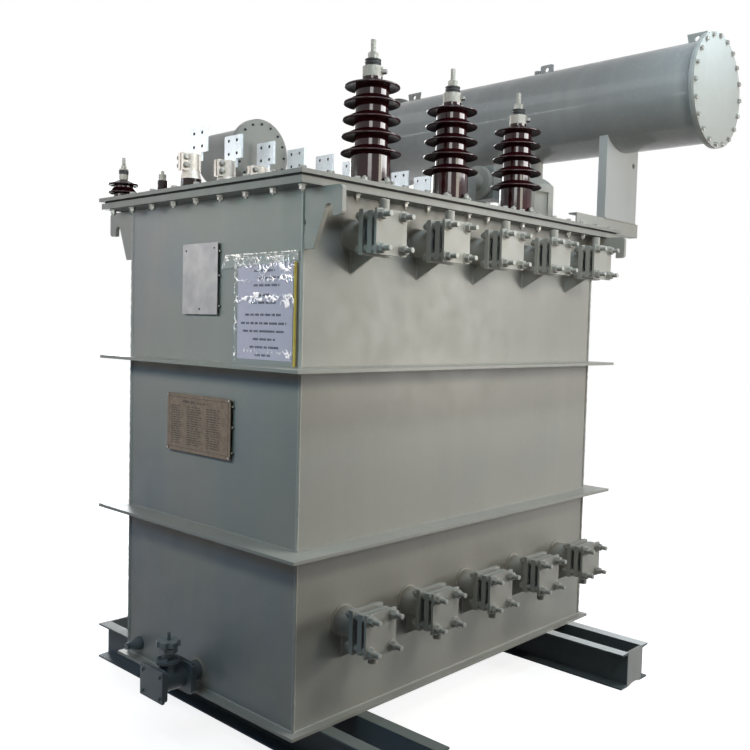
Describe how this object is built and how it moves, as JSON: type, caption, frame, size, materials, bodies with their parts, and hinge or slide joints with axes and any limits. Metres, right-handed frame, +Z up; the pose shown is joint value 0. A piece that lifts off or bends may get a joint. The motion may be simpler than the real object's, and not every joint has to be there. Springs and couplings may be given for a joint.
{
  "type": "rectifier transformer",
  "caption": "Oil-filled rectifier transformer: welded steel tank on skids, porcelain bushings, flag terminals, blanked radiator valves and a cylindrical conservator.",
  "frame": {"origin": "middle of the machine's outer box, on the ground under the skids", "axes": "+X along the tank towards the conservator, +Y from the high-voltage side to the low-voltage side, +Z up"},
  "size_m": [2.682, 2.032, 3.061],
  "materials": {
    "tank_paint": "satin",
    "skid_paint": "satin",
    "porcelain": "glazed",
    "terminal_metal": "tinned",
    "cap_black": "moulded",
    "gasket_rubber": "matte",
    "plate_bronze": "etched",
    "plate_bare": "satin",
    "pouch_film": "clear film over paper",
    "handwheel_paint": "satin",
    "relay_casting": "satin"
  },
  "bodies": {
    "transformer": {"left_skid_channels": "skid_paint", "right_skid_channels": "skid_paint", "skid_end_plates": "skid_paint", "base_plate": "tank_paint", "front_wall": "tank_paint", "back_wall": "tank_paint", "left_wall": "tank_paint", "right_wall": "tank_paint", "long_bands": "tank_paint", "end_bands": "tank_paint", "long_flange_bars": "tank_paint", "end_flange_bars": "tank_paint", "cover_gasket": "gasket_rubber", "cover_plate": "tank_paint", "front_lifting_hooks": "tank_paint", "back_lifting_hooks": "tank_paint", "front_pipe_stubs": "tank_paint", "front_butterfly_valves": "tank_paint", "front_blanking_plates": "tank_paint", "back_pipe_stubs": "tank_paint", "back_butterfly_valves": "tank_paint", "back_blanking_plates": "tank_paint", "hv_porcelains": "porcelain", "hv_clamp_rings": "terminal_metal", "hv_caps": "cap_black", "hv_terminals": "terminal_metal", "lv_porcelains": "porcelain", "lv_clamps": "terminal_metal", "lv_flags": "terminal_metal", "corner_insulator": "porcelain", "corner_terminal": "terminal_metal", "core_earth_bushing": "porcelain", "earth_terminal": "terminal_metal", "conservator_shell": "tank_paint", "conservator_ends": "tank_paint", "conservator_lugs": "tank_paint", "conservator_filler": "tank_paint", "support_beams": "tank_paint", "saddle_posts": "tank_paint", "relief_valve": "tank_paint", "gas_relay": "relay_casting", "relay_pipes": "tank_paint", "inspection_drum": "tank_paint", "drum_cover": "tank_paint", "drain_pipe": "tank_paint", "drain_valve_body": "tank_paint", "drain_blank": "tank_paint", "sampling_plug": "tank_paint", "upper_plate": "plate_bare", "rating_plate": "plate_bronze", "document_pouch": "pouch_film"},
    "handwheel": {"drain_handwheel": "handwheel_paint"}
  },
  "joints": [
    {"name": "handwheel_turn", "type": "hinge", "parent": "transformer", "child": "handwheel", "pos_m": [-1.265, 0.03, 0.3653], "axis": [0, 0, 1], "range_deg": [0, 1020]}
  ]
}
